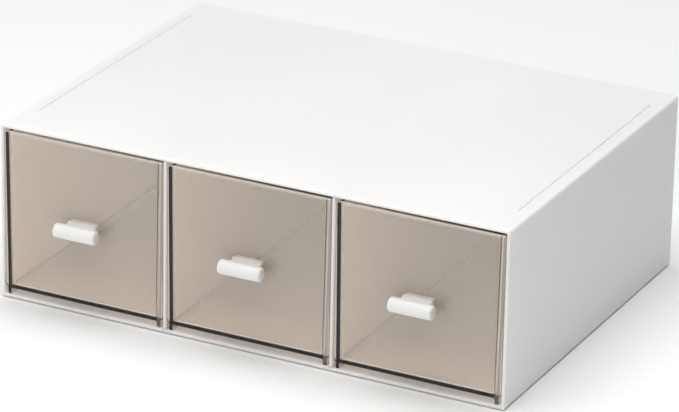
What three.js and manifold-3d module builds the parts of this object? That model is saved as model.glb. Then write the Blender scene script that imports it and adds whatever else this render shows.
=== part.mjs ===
// Desk organizer: a low cabinet with three tinted drawers side by side.
// Units are millimetres, +X runs along the width, +Y from front to back, +Z up.
// The origin is the middle of the whole object's box, on the surface that it stands on.
import * as THREE from 'three';
import { mergeVertices } from 'three/addons/utils/BufferGeometryUtils.js';
import Module from 'manifold-3d';

const wasm = await Module();
wasm.setup();

// ---------------------------------------------------------------- driving dimensions

const cabinet = {
  width: 270,
  depth: 196,
  height: 90, // from the underside of the base to the top face
  side: 1.6,
  top: 1.5,
  base: 1.6,
  cornerRadius: 0.9,
  innerRadius: 0.5,
};
const bayCount = 3;

// The top has two shallow grooves, and the ribs under the base of a stacked unit drop into them.
const stacking = {
  inset: 7.2, // from the side face to the middle of the groove
  setback: 24.5, // from the front face
  length: 153,
  grooveWidth: 1,
  grooveDepth: 0.7,
  ribWidth: 0.7,
  ribHeight: 0.6,
  ribShortening: 3,
};

const divider = {
  thickness: 1.6,
  tongue: 0.65, // how far its top and bottom edges enter the shell
  grooveDepth: 0.8,
  blindFront: 4, // the grooves stop this far behind the front face
  edgeGap: 0.1,
};

const backPanel = { thickness: 1.6, tabLength: 14, tabProud: 0.6, tabThickness: 0.7, recessDepth: 0.8 };

const fit = 0.3; // clearance between fixed pieces

// How finely round shapes are drawn, and how near two vertices lie when they are one.
const cornerSteps = { cabinet: 4, drawer: 6, handle: 3 };
const barSides = 32;
const oneVertex = 1e-4;
const overrun = 1; // how far a cutting block runs past the face that it cuts

const drawer = {
  frontThickness: 1.8,
  wall: 1.6, // the side walls and the rear wall
  floor: 1.3,
  frontSideGap: 0.35, // between the front plate and the walls of its bay
  frontTopGap: 1.6,
  frontLowerCorner: 2.6,
  frontUpperCorner: 0.9,
  sideGapTop: 0.65, // between a side wall and its bay, at the rim
  sideGapBottom: 1.6,
  rimDrop: 1, // how far the tub's rim lies below the top of the front plate
  runnerHeight: 3.1,
  runnerWidth: 1.6,
  runnerClearance: 0.3,
  length: 193.2,
  frontCornerRadius: 0.3,
  backCornerRadius: 3,
  innerRadius: 1.6, // inside the tub, between the front plate and the side walls
};

const handle = {
  barDiameter: 7.2,
  barLength: 22.8,
  barFillet: 1.3,
  drop: 1.5, // of its axis below the middle of the front plate
  reach: 6.9, // from the drawer's front face to the axis of the bar
  stemWidth: 15.6,
  stemHeight: 5,
  tongueWidth: 14,
  tongueHeight: 3.6,
  slotClearance: 0.25,
  barbHeight: 1.2,
  barbDepth: 1.6,
  splitHeight: 1,
};

// ---------------------------------------------------------------- derived places

const frontFace = (handle.reach + handle.barDiameter / 2 - cabinet.depth) / 2;
const backFace = frontFace + cabinet.depth;
const baseUnderside = stacking.ribHeight;
const floorTop = baseUnderside + cabinet.base;
const ceiling = baseUnderside + cabinet.height - cabinet.top;
const topFace = baseUnderside + cabinet.height;
const bayWidth = (cabinet.width - 2 * cabinet.side - (bayCount - 1) * divider.thickness) / bayCount;
const bayPitch = bayWidth + divider.thickness;

const drawerBottom = floorTop + drawer.runnerClearance;
const tubUnderside = drawerBottom + drawer.runnerHeight;
const tubFloor = tubUnderside + drawer.floor;
const frontTop = ceiling - drawer.frontTopGap;
const rim = frontTop - drawer.rimDrop;
const handleHeight = (tubUnderside + frontTop) / 2 - handle.drop;

// ---------------------------------------------------------------- solids

function toSolid(geometry) {
  const bare = geometry.clone();
  bare.deleteAttribute('normal');
  bare.deleteAttribute('uv');
  const merged = mergeVertices(bare, oneVertex);
  return new wasm.Manifold(new wasm.Mesh({
    numProp: 3,
    vertProperties: new Float32Array(merged.attributes.position.array),
    triVerts: new Uint32Array(merged.index.array),
  }));
}

function toGeometry(solid) {
  const mesh = solid.getMesh();
  const geometry = new THREE.BufferGeometry();
  geometry.setAttribute('position', new THREE.BufferAttribute(mesh.vertProperties, 3));
  geometry.setIndex(new THREE.BufferAttribute(mesh.triVerts, 1));
  geometry.computeVertexNormals();
  return geometry;
}

// A box between two corners.
function block([x0, y0, z0], [x1, y1, z1]) {
  const geometry = new THREE.BoxGeometry(x1 - x0, y1 - y0, z1 - z0);
  return toSolid(geometry.translate((x0 + x1) / 2, (y0 + y1) / 2, (z0 + z1) / 2));
}

// A rectangle with rounded corners; the radii are for its lower and its upper corners.
function roundedRectangle(x0, y0, x1, y1, lower, upper = lower) {
  const shape = new THREE.Shape();
  shape.moveTo(x0 + lower, y0);
  shape.lineTo(x1 - lower, y0);
  shape.absarc(x1 - lower, y0 + lower, lower, -Math.PI / 2, 0);
  shape.lineTo(x1, y1 - upper);
  shape.absarc(x1 - upper, y1 - upper, upper, 0, Math.PI / 2);
  shape.lineTo(x0 + upper, y1);
  shape.absarc(x0 + upper, y1 - upper, upper, Math.PI / 2, Math.PI);
  shape.lineTo(x0, y0 + lower);
  shape.absarc(x0 + lower, y0 + lower, lower, Math.PI, 1.5 * Math.PI);
  return shape;
}

// A section drawn in X and Z, run from y0 to y1.
function runAlongY(section, y0, y1, curveSegments = cornerSteps.cabinet) {
  const geometry = new THREE.ExtrudeGeometry(section, { depth: y1 - y0, bevelEnabled: false, curveSegments });
  return geometry.rotateX(Math.PI / 2).translate(0, y1, 0);
}

// A section drawn in X and Y, raised from z0 to z1.
function raise(section, z0, z1, curveSegments) {
  const geometry = new THREE.ExtrudeGeometry(section, { depth: z1 - z0, bevelEnabled: false, curveSegments });
  return geometry.translate(0, 0, z0);
}

// An outline given as [y, z] points, run across X and centred on x = 0.
function acrossX(outline, width) {
  const section = new THREE.Shape(outline.map(([y, z]) => new THREE.Vector2(y, z)));
  const geometry = new THREE.ExtrudeGeometry(section, { depth: width, bevelEnabled: false });
  // The two turns carry the depth onto X, and the outline onto Y and Z.
  geometry.rotateX(Math.PI / 2).rotateZ(Math.PI / 2);
  return toSolid(geometry.translate(-width / 2, 0, 0));
}

// Draws in the sides of a piece that is symmetric in X, in proportion to the distance below the rim.
function draft(geometry) {
  const position = geometry.attributes.position;
  const slope = (drawer.sideGapBottom - drawer.sideGapTop) / (rim - drawerBottom);
  for (let i = 0; i < position.count; i += 1) {
    const x = position.getX(i);
    const inward = slope * (rim - position.getZ(i));
    position.setX(i, x - Math.sign(x) * inward);
  }
  return geometry;
}

// ---------------------------------------------------------------- cabinet

function shellSolid() {
  const half = cabinet.width / 2;
  const section = roundedRectangle(-half, baseUnderside, half, topFace, cabinet.cornerRadius);
  section.holes.push(roundedRectangle(
    -half + cabinet.side, floorTop, half - cabinet.side, ceiling, cabinet.innerRadius));
  let solid = toSolid(runAlongY(section, frontFace, backFace));

  for (const side of [-1, 1]) {
    const middle = side * (half - stacking.inset);
    const start = frontFace + stacking.setback;
    const groove = stacking.grooveWidth / 2;
    solid = solid.subtract(block(
      [middle - groove, start, topFace - stacking.grooveDepth],
      [middle + groove, start + stacking.length, topFace + overrun]));

    const rib = stacking.ribWidth / 2;
    const shorter = stacking.ribShortening / 2;
    solid = solid.add(block(
      [middle - rib, start + shorter, 0],
      [middle + rib, start + stacking.length - shorter, baseUnderside + cabinet.base / 2]));

    const wallInside = side * (half - cabinet.side);
    const recessStart = wallInside - side * overrun;
    const recessEnd = wallInside + side * backPanel.recessDepth;
    for (const height of tabHeights()) {
      const reach = backPanel.tabLength / 2 + fit;
      solid = solid.subtract(block(
        [Math.min(recessStart, recessEnd), backFace - backPanel.thickness - fit, height - reach],
        [Math.max(recessStart, recessEnd), backFace - tabSetback() + fit, height + reach]));
    }
  }

  for (const x of dividerPlaces()) {
    const reach = divider.thickness / 2 + fit;
    const start = frontFace + divider.blindFront;
    const depth = divider.grooveDepth;
    const end = backFace + overrun;
    solid = solid.subtract(block([x - reach, start, ceiling - overrun], [x + reach, end, ceiling + depth]));
    solid = solid.subtract(block([x - reach, start, floorTop - depth], [x + reach, end, floorTop + overrun]));
  }
  return solid;
}

function dividerPlaces() {
  return Array.from({ length: bayCount - 1 }, (_, i) => (i - (bayCount - 2) / 2) * bayPitch);
}

// A plate whose long edges enter the shell's grooves, except for the stretch behind the front face.
function dividerSolid() {
  const tongueStart = frontFace + divider.blindFront + fit;
  const end = backFace - backPanel.thickness - fit;
  const shownFoot = floorTop + divider.edgeGap;
  const shownHead = ceiling - divider.edgeGap;
  const foot = floorTop - divider.tongue;
  const head = ceiling + divider.tongue;
  return acrossX([
    [frontFace, shownFoot], [tongueStart, shownFoot], [tongueStart, foot], [end, foot],
    [end, head], [tongueStart, head], [tongueStart, shownHead], [frontFace, shownHead],
  ], divider.thickness);
}

function tabHeights() {
  const middle = (floorTop + ceiling) / 2;
  const spread = (ceiling - floorTop) / 4;
  return [middle - spread, middle + spread];
}

function tabSetback() {
  return backPanel.thickness - backPanel.tabThickness;
}

// Closes the rear. Two tabs on each side edge snap into the recesses in the shell's side walls.
function backSolid() {
  const half = cabinet.width / 2 - cabinet.side - fit;
  let solid = block(
    [-half, backFace - backPanel.thickness, floorTop + fit],
    [half, backFace, ceiling - fit]);
  const reach = half + fit + backPanel.tabProud - fit / 2;
  for (const height of tabHeights()) {
    solid = solid.add(block(
      [-reach, backFace - backPanel.thickness, height - backPanel.tabLength / 2],
      [reach, backFace - tabSetback(), height + backPanel.tabLength / 2]));
  }
  return solid;
}

// ---------------------------------------------------------------- drawer

// One moulding: a front plate wider than the tub behind it, drafted side walls that run on below
// the floor as two runners, and a slot for the handle.
function drawerSolid() {
  const plateHalf = bayWidth / 2 - drawer.frontSideGap;
  const tubHalf = bayWidth / 2 - drawer.sideGapTop;
  const tubEnd = frontFace + drawer.length;
  const plateBack = frontFace + drawer.frontThickness;
  const inside = tubHalf - drawer.wall;

  const plate = toSolid(runAlongY(
    roundedRectangle(-plateHalf, tubUnderside, plateHalf, frontTop,
      drawer.frontLowerCorner, drawer.frontUpperCorner),
    frontFace, plateBack, cornerSteps.drawer));

  const outline = roundedRectangle(
    -tubHalf, frontFace, tubHalf, tubEnd, drawer.frontCornerRadius, drawer.backCornerRadius);
  const tub = toSolid(draft(raise(outline, drawerBottom, rim, cornerSteps.drawer)));

  const hollow = roundedRectangle(
    -inside, plateBack, inside, tubEnd - drawer.wall,
    drawer.innerRadius, drawer.backCornerRadius - drawer.wall);
  const cavity = toSolid(draft(raise(hollow, tubFloor, frontTop + overrun, cornerSteps.drawer)));

  const runnerInside = bayWidth / 2 - drawer.sideGapBottom - drawer.runnerWidth;
  const underFloor = block(
    [-runnerInside, frontFace - overrun, drawerBottom - overrun],
    [runnerInside, tubEnd + overrun, tubUnderside]);

  const slotHalf = handle.tongueWidth / 2 + handle.slotClearance;
  const slotHeight = handle.tongueHeight / 2 + handle.slotClearance;
  const slot = block(
    [-slotHalf, frontFace - overrun, handleHeight - slotHeight],
    [slotHalf, plateBack + overrun, handleHeight + slotHeight]);

  return tub.add(plate).subtract(cavity).subtract(underFloor).subtract(slot);
}

// A round bar on a flat stem. The stem's split tongue passes through the slot in the drawer's
// front plate, and the barbs on it catch behind the plate.
function handleSolid() {
  const radius = handle.barDiameter / 2;
  const half = handle.barLength / 2;
  const fillet = handle.barFillet;
  const quarter = (t) => [Math.sin(t * Math.PI / 2), Math.cos(t * Math.PI / 2)];
  const lowEnd = Array.from({ length: cornerSteps.handle + 1 }, (_, i) => {
    const [across, along] = quarter(i / cornerSteps.handle);
    return new THREE.Vector2(radius - fillet + fillet * across, -half + fillet - fillet * along);
  });
  const highEnd = lowEnd.map((p) => new THREE.Vector2(p.x, -p.y)).reverse();
  const profile = [new THREE.Vector2(0, -half), ...lowEnd, ...highEnd, new THREE.Vector2(0, half)];
  const bar = new THREE.LatheGeometry(profile, barSides).rotateZ(-Math.PI / 2);
  const axis = frontFace - handle.reach;
  let solid = toSolid(bar.translate(0, axis, handleHeight));

  const shoulder = frontFace - handle.slotClearance;
  const stemHalf = handle.stemWidth / 2;
  const stemRise = handle.stemHeight / 2;
  solid = solid.add(block(
    [-stemHalf, axis, handleHeight - stemRise],
    [stemHalf, shoulder, handleHeight + stemRise]));

  const barbStart = frontFace + drawer.frontThickness + handle.slotClearance;
  const tongueEnd = barbStart + handle.barbDepth;
  const tongueHalf = handle.tongueWidth / 2;
  const tongueRise = handle.tongueHeight / 2;
  solid = solid.add(block(
    [-tongueHalf, shoulder - overrun, handleHeight - tongueRise],
    [tongueHalf, tongueEnd, handleHeight + tongueRise]));

  const tip = tongueRise + handle.barbHeight;
  const barbs = acrossX([
    [barbStart, -tip], [tongueEnd, -tongueRise], [tongueEnd, tongueRise], [barbStart, tip],
  ], handle.tongueWidth);
  solid = solid.add(barbs.translate([0, 0, handleHeight]));

  const split = handle.splitHeight / 2;
  return solid.subtract(block(
    [-tongueHalf - overrun, frontFace + drawer.frontThickness / 2, handleHeight - split],
    [tongueHalf + overrun, tongueEnd + overrun, handleHeight + split]));
}

// ---------------------------------------------------------------- assembly

const whitePlastic = new THREE.MeshStandardMaterial({ color: '#f1f1ee', roughness: 0.45, metalness: 0 });
const handlePlastic = new THREE.MeshStandardMaterial({ color: '#f6f6f4', roughness: 0.35, metalness: 0 });
const tintedPlastic = new THREE.MeshStandardMaterial({
  color: '#b9a894', roughness: 0.08, metalness: 0, transparent: true, opacity: 0.45,
});

function part(name, solid, material) {
  const mesh = new THREE.Mesh(toGeometry(solid), material);
  mesh.name = name;
  return mesh;
}

const organizer = new THREE.Group();
organizer.add(part('cabinet_shell', shellSolid(), whitePlastic));
organizer.add(part('back_panel', backSolid(), whitePlastic));

dividerPlaces().forEach((x, i) => {
  const plate = part(['divider_left', 'divider_right'][i], dividerSolid(), whitePlastic);
  plate.position.x = x;
  organizer.add(plate);
});

['left', 'middle', 'right'].forEach((place, i) => {
  const bay = new THREE.Group();
  bay.position.x = (i - (bayCount - 1) / 2) * bayPitch;
  bay.add(part(`drawer_${place}`, drawerSolid(), tintedPlastic));
  bay.add(part(`handle_${place}`, handleSolid(), handlePlastic));
  organizer.add(bay);
});

export default organizer;
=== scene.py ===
"""Desk organizer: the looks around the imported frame. Everything is in metres, in the row frame."""
import math

import bmesh
import bpy
from mathutils import Matrix, Vector


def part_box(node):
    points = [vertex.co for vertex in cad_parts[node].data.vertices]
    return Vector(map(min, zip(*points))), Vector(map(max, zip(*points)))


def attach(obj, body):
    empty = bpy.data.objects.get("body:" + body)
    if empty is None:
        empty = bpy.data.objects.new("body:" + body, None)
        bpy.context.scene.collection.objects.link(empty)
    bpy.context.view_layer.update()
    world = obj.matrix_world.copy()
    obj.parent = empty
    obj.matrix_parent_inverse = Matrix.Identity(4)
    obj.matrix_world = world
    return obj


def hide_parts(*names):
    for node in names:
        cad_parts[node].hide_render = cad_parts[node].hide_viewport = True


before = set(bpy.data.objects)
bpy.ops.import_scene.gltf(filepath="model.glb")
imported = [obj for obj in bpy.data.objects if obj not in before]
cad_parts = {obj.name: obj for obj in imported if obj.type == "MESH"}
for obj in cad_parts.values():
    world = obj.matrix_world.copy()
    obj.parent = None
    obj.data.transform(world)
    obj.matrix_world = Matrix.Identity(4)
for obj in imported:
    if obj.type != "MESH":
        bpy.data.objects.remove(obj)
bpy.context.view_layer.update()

MM = 0.001
ALONG_Y, ALONG_Z = 1, 2

# ------------------------------------------------------------------ camera

# Where the camera stands, in degrees round the object and above it, and how far it is tilted.
VIEW_AZIMUTH = 26.48
VIEW_ELEVATION = 22.68
VIEW_ROLL = 1.14
VIEW_DISTANCE = 2.19
LENS = 237.7
AIM = Vector((2.3, -1.4, 42.7)) * MM


def direction(azimuth, elevation):
    """The way from the object to a place round it and above it, both in degrees."""
    a, e = math.radians(azimuth), math.radians(elevation)
    return Vector((math.sin(a) * math.cos(e), -math.cos(a) * math.cos(e), math.sin(e)))


def make_camera():
    back = direction(VIEW_AZIMUTH, VIEW_ELEVATION)
    data = bpy.data.cameras.new("camera")
    data.lens = LENS
    data.clip_start, data.clip_end = 0.05, 20
    camera = bpy.data.objects.new("camera", data)
    turn = (-back).to_track_quat("-Z", "Y").to_matrix().to_4x4()
    roll = Matrix.Rotation(math.radians(VIEW_ROLL), 4, "Z")
    camera.matrix_world = Matrix.Translation(AIM + back * VIEW_DISTANCE) @ turn @ roll
    bpy.context.scene.collection.objects.link(camera)
    bpy.context.scene.camera = camera


make_camera()

# ------------------------------------------------------------------ node helpers


class Shader:
    """A material's node tree, with short calls for the nodes that the surfaces here use."""

    def __init__(self, name):
        self.material = bpy.data.materials.new(name)
        self.material.use_nodes = True
        self.nodes = self.material.node_tree.nodes
        self.links = self.material.node_tree.links
        self.nodes.clear()
        self.output = self.nodes.new("ShaderNodeOutputMaterial")
        self.bsdf = self.nodes.new("ShaderNodeBsdfPrincipled")
        self.links.new(self.bsdf.outputs[0], self.output.inputs["Surface"])
        coordinates = self.nodes.new("ShaderNodeTexCoord")
        self.place, self.share = coordinates.outputs["Object"], coordinates.outputs["Generated"]

    def noise(self, scale, detail=2.0, stretch=(1, 1, 1)):
        mapping = self.nodes.new("ShaderNodeMapping")
        mapping.inputs["Scale"].default_value = stretch
        self.links.new(self.place, mapping.inputs["Vector"])
        node = self.nodes.new("ShaderNodeTexNoise")
        node.inputs["Scale"].default_value = scale
        node.inputs["Detail"].default_value = detail
        self.links.new(mapping.outputs[0], node.inputs["Vector"])
        return node.outputs["Fac"]

    def ramp(self, value, low, high, start=0.3, end=0.7):
        """value, taken from start..end to low..high."""
        node = self.nodes.new("ShaderNodeMapRange")
        for name, number in zip(("From Min", "From Max", "To Min", "To Max"), (start, end, low, high)):
            node.inputs[name].default_value = number
        self.links.new(value, node.inputs["Value"])
        return node.outputs["Result"]

    def colours(self, value, *stops):
        node = self.nodes.new("ShaderNodeValToRGB")
        ends = node.color_ramp.elements
        for i, (place, colour) in enumerate(stops):
            stop = ends[i] if i < 2 else ends.new(place)
            stop.position, stop.color = place, (*colour, 1)
        self.links.new(value, node.inputs["Fac"])
        return node.outputs["Color"]

    def between(self, value, low, high, blur=0.0008):
        """1 where value lies between low and high, and 0 elsewhere."""
        return self.product(self.ramp(value, 0, 1, low - blur, low + blur),
                            self.ramp(value, 1, 0, high - blur, high + blur))

    def less(self, value):
        """1 less value."""
        return self.ramp(value, 1, 0, 0, 1)

    def split(self, vector):
        node = self.nodes.new("ShaderNodeSeparateXYZ")
        self.links.new(vector, node.inputs[0])
        return node.outputs

    def product(self, first, second):
        node = self.nodes.new("ShaderNodeMath")
        node.operation = "MULTIPLY"
        self.links.new(first, node.inputs[0])
        self.links.new(second, node.inputs[1])
        return node.outputs[0]

    def add(self, first, second, share=1.0):
        node = self.nodes.new("ShaderNodeMath")
        node.operation = "MULTIPLY_ADD"
        self.links.new(second, node.inputs[0])
        node.inputs[1].default_value = share
        self.links.new(first, node.inputs[2])
        return node.outputs[0]

    def blend(self, share, first, colour):
        """The first colour, turned into the plain colour by share."""
        node = self.nodes.new("ShaderNodeMix")
        node.data_type = "RGBA"
        self.links.new(share, node.inputs["Factor"])
        self.links.new(first, node.inputs[6])
        node.inputs[7].default_value = (*colour, 1)
        return node.outputs[2]

    def bump(self, height, strength, distance):
        node = self.nodes.new("ShaderNodeBump")
        node.inputs["Strength"].default_value = strength
        node.inputs["Distance"].default_value = distance
        self.links.new(height, node.inputs["Height"])
        self.links.new(node.outputs[0], self.bsdf.inputs["Normal"])

    def feed(self, name, value):
        self.links.new(value, self.bsdf.inputs[name])

    def set(self, **sockets):
        for name, value in sockets.items():
            self.bsdf.inputs[name.replace("_", " ")].default_value = value


# ------------------------------------------------------------------ materials


def white_plastic(name, pale, dark, roughness, grain):
    """Opaque moulded plastic: a fine grain in the bump, and slow changes of tone and gloss."""
    s = Shader(name)
    clouds = s.noise(9, 3)
    fine = s.noise(2600, 2)
    s.feed("Base Color", s.colours(clouds, (0.35, dark), (0.65, pale)))
    s.feed("Roughness", s.ramp(s.add(clouds, fine, 0.4), roughness - 0.05, roughness + 0.06, 0.5, 0.9))
    s.bump(s.add(fine, s.noise(900, 3), 0.8), grain, 0.00004)
    s.set(IOR=1.5, Specular_IOR_Level=0.42, Subsurface_Weight=1.0, Subsurface_Scale=0.003)
    s.set(Subsurface_Radius=(1, 1, 0.95))
    return s.material


# Where a drawer is hazy, or darkened by painted shade, in shares of its own box. The walls lean in by
# LEAN towards the foot, so a place across the front plate is given at the rim's height.
LEAN = 0.0109
PLATE_DEPTH = 0.0098
FLOOR_EDGE = 0.06
LEFT_WALL = (0.0085, 0.032)
RIGHT_WALL = (0.9705, 0.976)
TOP_EDGE = 0.9982
# The loop just inside the plate's rim, where extra haze paints a highlight line.
HIGHLIGHT_LOOP_OUTSIDE = (0.033, 0.9685, 0.062, 0.995)  # left, right, low, high
HIGHLIGHT_LOOP_INSIDE = (0.038, 0.9635, 0.068, 0.986)
BEYOND = 2  # past the end of every share

# The haze of the plate stays under 0.25, above which the denoiser smears what is seen through it.
HAZE = 0.235
# Extra haze that paints highlights: on the loop inside the rim, on the top edge and on the right margin.
HIGHLIGHT_LOOP_HAZE = 0.14
TOP_EDGE_HIGHLIGHT_HAZE = 0.6
RIGHT_MARGIN_HIGHLIGHT_HAZE = 0.12

# The inner corners where the side walls meet the floor, painted as a thin brown line of shade that stands
# in for the rounded corner's shadow line.
CORNER_ACROSS = (0.03, 0.037)
CORNER_UP = (0.05, 0.0575)
CORNER_SHADE_HAZE = 0.7
CORNER_SHADE_COLOUR = (0.16, 0.1, 0.06)

TINT_DARK = (0.985, 0.913, 0.833)
TINT_PALE = (0.995, 0.928, 0.855)
ABSORPTION_COLOUR = (0.72, 0.43, 0.13, 1)
ABSORPTION_DENSITY = 52
TINT_ROUGHNESS = (0.012, 0.045)
FLOW_STRENGTH, FLOW_DEPTH = 0.012, 0.0004  # the slow waves that moulding leaves in the surface


def plate_haze(s, across, along, up):
    """The haze of the front plate: extra haze that paints highlights on a loop just inside the rim, on
    the top edge and on the right margin, and none over the floor's edge and the walls' ends, so that
    these look dark."""
    from_left = s.add(across, s.ramp(up, -LEAN, 0, 0, 1))
    from_right = s.add(across, s.ramp(up, LEAN, 0, 0, 1))

    def field(left, right, low, high):
        sides = s.product(s.between(from_left, left, BEYOND), s.between(from_right, -1, right))
        return s.product(sides, s.between(up, low, high))

    body = s.product(s.between(up, FLOOR_EDGE, BEYOND), s.less(s.between(from_left, *LEFT_WALL)))
    body = s.product(body, s.less(s.between(from_right, *RIGHT_WALL)))
    # painted highlight line: extra haze on the loop just inside the rim
    highlight_loop = s.product(field(*HIGHLIGHT_LOOP_OUTSIDE), s.less(field(*HIGHLIGHT_LOOP_INSIDE)))
    haze = s.add(s.ramp(body, 0, HAZE, 0, 1), highlight_loop, HIGHLIGHT_LOOP_HAZE)
    # painted highlights: extra haze on the top edge and on the right margin
    haze = s.add(haze, s.between(up, TOP_EDGE, BEYOND), TOP_EDGE_HIGHLIGHT_HAZE)
    haze = s.add(haze, s.between(from_right, RIGHT_WALL[1], BEYOND), RIGHT_MARGIN_HIGHLIGHT_HAZE)
    return s.product(haze, s.between(along, -1, PLATE_DEPTH))


def painted_corner_shade(s, across, along, up):
    """1 on the two inner corners between the walls and the floor, behind the front plate, where a brown
    line of painted shade goes.
    """
    near, far = CORNER_ACROSS
    shade_line = s.add(s.between(across, near, far), s.between(across, 1 - far, 1 - near))
    shade_line = s.product(shade_line, s.between(up, *CORNER_UP))
    return s.product(shade_line, s.between(along, PLATE_DEPTH, BEYOND))


def pass_indirect_light(s):
    """Light that isn't seen directly goes through a clear stand-in, so that it reaches what is inside."""
    clear = s.nodes.new("ShaderNodeBsdfTransparent")
    clear.inputs["Color"].default_value = (1, 1, 1, 1)
    ray = s.nodes.new("ShaderNodeLightPath")
    surface = s.bsdf.outputs[0]
    for kind in ("Is Shadow Ray", "Is Diffuse Ray"):
        mix = s.nodes.new("ShaderNodeMixShader")
        s.links.new(ray.outputs[kind], mix.inputs["Fac"])
        s.links.new(surface, mix.inputs[1])
        s.links.new(clear.outputs[0], mix.inputs[2])
        surface = mix.outputs[0]
    s.links.new(surface, s.output.inputs["Surface"])


def tinted_plastic(name):
    """Tea-tinted styrene: clear walls, a front plate with a little haze and painted highlights, and
    painted shade on the inner corners of the floor.
    """
    s = Shader(name)
    flow = s.noise(12, 2, (1, 0.25, 1))
    tint = s.colours(flow, (0.3, TINT_DARK), (0.7, TINT_PALE))
    s.feed("Roughness", s.ramp(s.noise(60, 4), *TINT_ROUGHNESS))
    across, along, up = s.split(s.share)
    haze = plate_haze(s, across, along, up)
    # painted shade: a brown, hazy line on the inner corners of the floor
    corner = painted_corner_shade(s, across, along, up)
    s.feed("Base Color", s.blend(corner, tint, CORNER_SHADE_COLOUR))
    s.feed("Transmission Weight", s.less(s.add(haze, corner, CORNER_SHADE_HAZE)))
    s.bump(flow, FLOW_STRENGTH, FLOW_DEPTH)
    s.set(IOR=1.49)
    absorption = s.nodes.new("ShaderNodeVolumeAbsorption")
    absorption.inputs["Color"].default_value = ABSORPTION_COLOUR
    absorption.inputs["Density"].default_value = ABSORPTION_DENSITY
    s.links.new(absorption.outputs[0], s.output.inputs["Volume"])
    pass_indirect_light(s)
    return s.material


CABINET_WHITE = white_plastic("cabinet_white", (0.9, 0.9, 0.888), (0.88, 0.88, 0.868), 0.42, 0.12)
HANDLE_WHITE = white_plastic("handle_white", (0.83, 0.83, 0.82), (0.8, 0.8, 0.79), 0.3, 0.06)
DRAWER_TINT = tinted_plastic("drawer_tint")

# ------------------------------------------------------------------ mesh helpers


def rounded_rectangle(low, high, lower, upper, steps=6):
    """Points round a rectangle between two corners; lower and upper are its corner radii."""
    (x0, y0), (x1, y1) = low, high
    corners = (
        (x1 - lower, y0 + lower, lower, -90),
        (x1 - upper, y1 - upper, upper, 0),
        (x0 + upper, y1 - upper, upper, 90),
        (x0 + lower, y0 + lower, lower, 180),
    )
    points = []
    for cx, cy, radius, start in corners:
        for i in range(steps + 1):
            turn = math.radians(start + 90 * i / steps)
            points.append((cx + radius * math.cos(turn), cy + radius * math.sin(turn)))
    return points


def lathe_arc(radius, steps=5):
    """(inset, advance) pairs along a quarter round edge, from the end face's side to the long side."""
    turns = [math.pi / 2 * i / steps for i in range(steps + 1)]
    return [(radius * (1 - math.sin(t)), radius * (1 - math.cos(t))) for t in turns]


def finish_mesh(name, bm, material):
    bmesh.ops.remove_doubles(bm, verts=bm.verts, dist=1e-7)
    bmesh.ops.recalc_face_normals(bm, faces=bm.faces)
    mesh = bpy.data.meshes.new(name)
    bm.to_mesh(mesh)
    bm.free()
    piece = bpy.data.objects.new(name, mesh)
    bpy.context.scene.collection.objects.link(piece)
    mesh.materials.append(material)
    shade(piece)
    return piece


def shade(piece, angle=32):
    piece.data.shade_smooth()
    piece.data.set_sharp_from_angle(angle=math.radians(angle))


def loft(name, rings, material, closed=False):
    """A skin over rings of equal length. The first and last ring are capped, or joined if closed."""
    bm = bmesh.new()
    made = [[bm.verts.new(p) for p in ring] for ring in rings]
    pairs = list(zip(made, made[1:]))
    if closed:
        pairs.append((made[-1], made[0]))
    for a, b in pairs:
        for i in range(len(a)):
            j = (i + 1) % len(a)
            bm.faces.new((a[i], a[j], b[j], b[i]))
    if not closed:
        bm.faces.new(made[0])
        bm.faces.new(made[-1])
    return finish_mesh(name, bm, material)


def combine(piece, other, operation):
    """Cuts piece with other, or joins them, and leaves one mesh."""
    modifier = piece.modifiers.new(operation, "BOOLEAN")
    modifier.operation, modifier.object, modifier.solver = operation, other, "EXACT"
    graph = bpy.context.evaluated_depsgraph_get()
    mesh = bpy.data.meshes.new_from_object(piece.evaluated_get(graph), depsgraph=graph)
    piece.modifiers.clear()
    piece.data = mesh
    bpy.data.objects.remove(other)
    shade(piece)


def settle(piece, body, *nodes, slot):
    """The last steps for every piece: flat faces keep flat shading, and it stands for its CAD node."""
    modifier = piece.modifiers.new("flat_faces", "WEIGHTED_NORMAL")
    modifier.keep_sharp = True
    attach(piece, body)
    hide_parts(*nodes)


def prism(name, low, high, radius, axis, material, edge=0.0, upper=None):
    """A bar along axis with rounded long edges, and end edges rounded by edge."""
    a, b = [i for i in range(3) if i != axis]
    upper = radius if upper is None else upper
    rings = []
    ends = [(low[axis], 1), (high[axis], -1)]
    for end, way in ends:
        arc = lathe_arc(edge) if edge else [(0.0, 0.0)]
        part = []
        for inset, advance in arc:
            ring = rounded_rectangle(
                (low[a] + inset, low[b] + inset), (high[a] - inset, high[b] - inset),
                max(radius - inset, 1e-5), max(upper - inset, 1e-5))
            part.append((end + way * advance, ring))
        rings += part if way > 0 else part[::-1]
    placed = []
    for level, ring in rings:
        points = []
        for p, q in ring:
            point = [0.0, 0.0, 0.0]
            point[axis], point[a], point[b] = level, p, q
            points.append(point)
        placed.append(points)
    return loft(name, placed, material)


# ------------------------------------------------------------------ cabinet

SIDE = 1.6 * MM
TOP = 1.5 * MM
RIB = 0.6 * MM
BASE = 1.6 * MM
OUTER_RADIUS = 0.9 * MM
INNER_RADIUS = 0.5 * MM
EDGE = 0.25 * MM  # the rounding of the shell's front and rear edges
PANEL_EDGE = 0.4 * MM  # the rounding of the dividers and of the back

# The two stacking grooves in the top, and the ribs under the base that fit into them.
GROOVE_INSET = 7.2 * MM
GROOVE_SETBACK = 24.5 * MM
GROOVE_LENGTH = 153 * MM
GROOVE_WIDTH = 1.0 * MM
GROOVE_DEPTH = 0.7 * MM
GROOVE_CORNER = 0.45 * MM
RIB_WIDTH = 0.7 * MM
RIB_CORNER = 0.3 * MM
RIB_EDGE = 0.12 * MM
RIB_SETBACK = 1.5 * MM  # from the end of the groove above it


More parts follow.
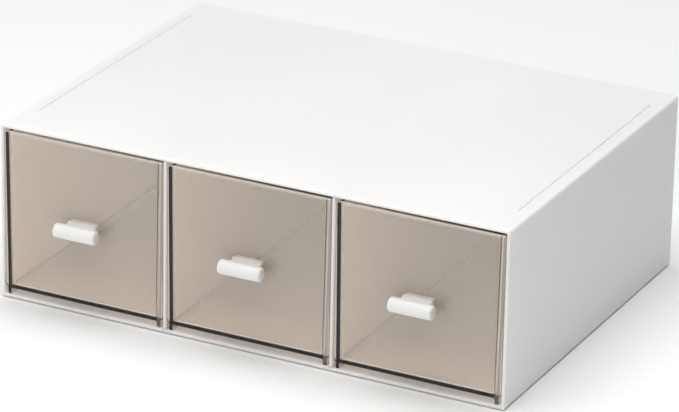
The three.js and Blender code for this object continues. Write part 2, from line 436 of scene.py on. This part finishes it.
def make_shell():
    """A sleeve with rounded edges, the two stacking grooves in its top and the ribs under its base."""
    low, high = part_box("cabinet_shell")
    base = low.z + RIB
    arc = lathe_arc(EDGE)

    def outer(inset):
        radius = OUTER_RADIUS - inset
        corners = ((low.x + inset, base + inset), (high.x - inset, high.z - inset))
        return rounded_rectangle(*corners, radius, radius)

    def inner(inset):
        radius = INNER_RADIUS + inset
        corners = (
            (low.x + SIDE - inset, base + BASE - inset),
            (high.x - SIDE + inset, high.z - TOP + inset))
        return rounded_rectangle(*corners, radius, radius)

    rings = []
    rings += [(outer(inset), low.y + advance) for inset, advance in arc]
    rings += [(outer(inset), high.y - advance) for inset, advance in reversed(arc)]
    rings += [(inner(inset), high.y - advance) for inset, advance in arc]
    rings += [(inner(inset), low.y + advance) for inset, advance in reversed(arc)]
    placed = [[(x, y, z) for x, z in ring] for ring, y in rings]
    shell = loft("cabinet_shell_moulding", placed, CABINET_WHITE, closed=True)

    start = low.y + GROOVE_SETBACK
    end = start + GROOVE_LENGTH
    for side in (-1, 1):
        middle = side * (high.x - GROOVE_INSET)
        half = GROOVE_WIDTH / 2
        groove = prism(
            "groove", (middle - half, start, high.z - GROOVE_DEPTH), (middle + half, end, high.z + MM),
            GROOVE_CORNER, ALONG_Z, CABINET_WHITE)
        combine(shell, groove, "DIFFERENCE")
        half = RIB_WIDTH / 2
        rib = prism(
            "rib", (middle - half, start + RIB_SETBACK, low.z),
            (middle + half, end - RIB_SETBACK, base + MM),
            RIB_CORNER, ALONG_Z, CABINET_WHITE, edge=RIB_EDGE)
        combine(shell, rib, "UNION")
    settle(shell, "cabinet", "cabinet_shell", slot="cabinet_white")


def make_plate(name, node):
    low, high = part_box(node)
    plate = prism(name, low, high, PANEL_EDGE, ALONG_Y, CABINET_WHITE, edge=PANEL_EDGE)
    settle(plate, "cabinet", node, slot="cabinet_white")


make_shell()
make_plate("divider_left_plate", "divider_left")
make_plate("divider_right_plate", "divider_right")
make_plate("rear_plate", "back_panel")

# ------------------------------------------------------------------ drawers

FRONT = 1.8 * MM
WALL = 1.6 * MM
FLOOR = 1.3 * MM
DRAFT_TOP = 0.3 * MM  # how far the tub's wall lies inside the front plate's edge, at the rim
DRAFT_BOTTOM = 1.25 * MM
RIM_DROP = 1.0 * MM
RUNNER = 3.1 * MM
RUNNER_WIDTH = 1.9 * MM
LIP = 0.4 * MM
INNER_FILLET = 2.6 * MM
REAR_CORNER = 3.0 * MM
LEAST_REAR_CORNER = 0.8 * MM
TUB_SETBACK = 0.3 * MM  # of the tub behind the front face
TUB_FRONT_CORNER = 0.5 * MM
FLOOR_FILLET = 1.6 * MM
FLOOR_SIDE_SHARE = 0.35  # the fillet's width at the sides and the back, as a share of that at the front
FLOOR_FILLET_STEPS = 6
FRONT_LOWER_CORNER = 2.6 * MM
FRONT_UPPER_CORNER = 1.1 * MM
FRONT_EDGE = 0.3 * MM
FRONT_SHORTENING = 0.02 * MM  # keeps the plate's rear face off the tub's own
CHANNEL_CORNER = 0.9 * MM
OVERRUN = 1 * MM  # how far a cutting block runs past the face that it cuts
SLOT = (14.5 * MM, 4.1 * MM)
SLOT_CORNER = 0.4 * MM


def centred_box(middle, height, size, near, far):
    """The two corners of a box about a place on the front, size being its width and height."""
    half_x, half_z = size[0] / 2, size[1] / 2
    return (middle - half_x, near, height - half_z), (middle + half_x, far, height + half_z)


def make_drawer(place):
    """A tub with drafted walls on two runners, its front plate, and the slot for the handle."""
    node = f"drawer_{place}"
    low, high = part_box(node)
    middle = (low.x + high.x) / 2
    rim = high.z - RIM_DROP
    floor_under = low.z + RUNNER
    floor = floor_under + FLOOR
    slope = (DRAFT_BOTTOM - DRAFT_TOP) / (rim - low.z)

    def ring(z, inset, front, corner):
        """The tub's outline at height z, drawn in by inset at the sides and the back."""
        side = (high.x - low.x) / 2 - DRAFT_TOP - slope * (rim - z) - inset
        rear = max(REAR_CORNER - inset, LEAST_REAR_CORNER)
        corners = ((middle - side, front), (middle + side, high.y - inset))
        points = rounded_rectangle(*corners, corner, rear, 8)
        return [(x, y, z) for x, y in points]

    def outside(z, inset=0.0):
        return ring(z, inset, low.y + TUB_SETBACK + inset, TUB_FRONT_CORNER)

    def inside(z, inset=0.0, side_share=1.0):
        return ring(z, WALL + inset * side_share, low.y + FRONT + inset, INNER_FILLET)

    arc = lathe_arc(LIP)
    rings = [outside(low.z)]
    rings += [outside(rim - advance, inset) for inset, advance in reversed(arc)]
    rings += [inside(rim - advance, -inset) for inset, advance in arc]
    for i in range(FLOOR_FILLET_STEPS + 1):
        turn = math.pi / 2 * i / FLOOR_FILLET_STEPS
        rise, inset = FLOOR_FILLET * (1 - math.sin(turn)), FLOOR_FILLET * (1 - math.cos(turn))
        rings.append(inside(floor + rise, inset, FLOOR_SIDE_SHARE))
    tub = loft(f"{node}_tub", rings, DRAWER_TINT)

    plate = prism(
        "front", (low.x, low.y, floor_under), (high.x, low.y + FRONT - FRONT_SHORTENING, high.z),
        FRONT_LOWER_CORNER, ALONG_Y, DRAWER_TINT, edge=FRONT_EDGE, upper=FRONT_UPPER_CORNER)
    combine(tub, plate, "UNION")

    gap = (high.x - low.x) / 2 - DRAFT_BOTTOM - RUNNER_WIDTH
    channel = prism(
        "channel", (middle - gap, low.y - OVERRUN, low.z - 2 * OVERRUN),
        (middle + gap, high.y + OVERRUN, floor_under), CHANNEL_CORNER, ALONG_Y, DRAWER_TINT)
    combine(tub, channel, "DIFFERENCE")

    grip_low, grip_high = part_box(f"handle_{place}")
    height = (grip_low.z + grip_high.z) / 2
    corners = centred_box(middle, height, SLOT, low.y - OVERRUN, low.y + FRONT + OVERRUN)
    slot = prism("slot", *corners, SLOT_CORNER, ALONG_Y, DRAWER_TINT)
    combine(tub, slot, "DIFFERENCE")
    settle(tub, f"{place}_drawer", node, slot="drawer_tint")


# Ends are given from the drawer's front face, and those that stand out in front of it are negative.
BAR_FILLET = 1.3 * MM
BAR_SIDES = 48
STEM = (15.6 * MM, 5.0 * MM)  # width and height, as for the next three
FLANGE = (15.6 * MM, 6.6 * MM)
TONGUE = (14.0 * MM, 3.6 * MM)
BARB = (14.0 * MM, 6.0 * MM)
STEM_END = -0.25 * MM
FLANGE_REACH = (-1.15 * MM, -0.15 * MM)
TONGUE_REACH = (-1.0 * MM, 2.2 * MM)
BARB_START = 2.05 * MM


def make_handle(place):
    """A turned bar on a flat stem with a flange, whose barbed tongue goes through the front plate."""
    node = f"handle_{place}"
    low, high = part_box(node)
    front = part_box(f"drawer_{place}")[0].y
    middle, height = (low.x + high.x) / 2, (low.z + high.z) / 2
    radius = (high.z - low.z) / 2
    axis = low.y + radius
    profile = [(low.x + advance, radius - inset) for inset, advance in lathe_arc(BAR_FILLET, 6)]
    profile += [(high.x - (x - low.x), r) for x, r in reversed(profile)]
    turns = [2 * math.pi * i / BAR_SIDES for i in range(BAR_SIDES)]
    rings = [
        [(x, axis + r * math.cos(t), height + r * math.sin(t)) for t in turns]
        for x, r in profile
    ]
    handle = loft(f"{node}_bar", rings, HANDLE_WHITE)

    joined = (
        # name, size, near end, far end, corner radius, end edge
        ("stem", STEM, axis, front + STEM_END, 0.5 * MM, 0.15 * MM),
        ("flange", FLANGE, front + FLANGE_REACH[0], front + FLANGE_REACH[1], 0.6 * MM, 0.2 * MM),
        ("tongue", TONGUE, front + TONGUE_REACH[0], front + TONGUE_REACH[1], 0.3 * MM, 0.0),
        ("barb", BARB, front + BARB_START, high.y, 0.3 * MM, 0.3 * MM),
    )
    for name, size, near, far, corner, edge in joined:
        corners = centred_box(middle, height, size, near, far)
        combine(handle, prism(name, *corners, corner, ALONG_Y, HANDLE_WHITE, edge=edge), "UNION")
    settle(handle, f"{place}_drawer", node, slot="handle_white")


for place in ("left", "middle", "right"):
    make_drawer(place)
    make_handle(place)

# ------------------------------------------------------------------ floor and light

FLOOR_REACH = 6  # metres from the middle to each edge
FLOOR_DARK = (0.92, 0.92, 0.915)
FLOOR_PALE = (0.94, 0.94, 0.935)
WORLD_STRENGTH = 0.15


def make_floor():
    s = Shader("floor")
    s.feed("Base Color", s.colours(s.noise(3, 2), (0.3, FLOOR_DARK), (0.7, FLOOR_PALE)))
    s.set(Roughness=0.75, Specular_IOR_Level=0.2)
    bm = bmesh.new()
    reach = FLOOR_REACH
    corners = ((-reach, -reach), (reach, -reach), (reach, reach), (-reach, reach))
    bm.faces.new([bm.verts.new((x, y, 0)) for x, y in corners])
    floor = finish_mesh("floor", bm, s.material)


def area_light(name, azimuth, elevation, distance, size, power):
    place = direction(azimuth, elevation) * distance
    data = bpy.data.lights.new(name, "AREA")
    data.shape, data.size, data.size_y = "RECTANGLE", size[0], size[1]
    data.energy = power
    light = bpy.data.objects.new(name, data)
    turn = (-place).to_track_quat("-Z", "Y").to_matrix().to_4x4()
    light.matrix_world = Matrix.Translation(place) @ turn
    bpy.context.scene.collection.objects.link(light)


def make_light():
    world = bpy.data.worlds.new("studio")
    world.use_nodes = True
    background = world.node_tree.nodes["Background"]
    background.inputs["Color"].default_value = (1, 1, 1, 1)
    background.inputs["Strength"].default_value = WORLD_STRENGTH
    bpy.context.scene.world = world
    area_light("overhead", azimuth=0, elevation=86, distance=1.6, size=(1.6, 1.6), power=30)
    area_light("front", azimuth=-25, elevation=16, distance=1.8, size=(1.8, 1.2), power=9.5)


make_floor()
make_light()
bpy.context.scene.view_settings.view_transform = "Standard"
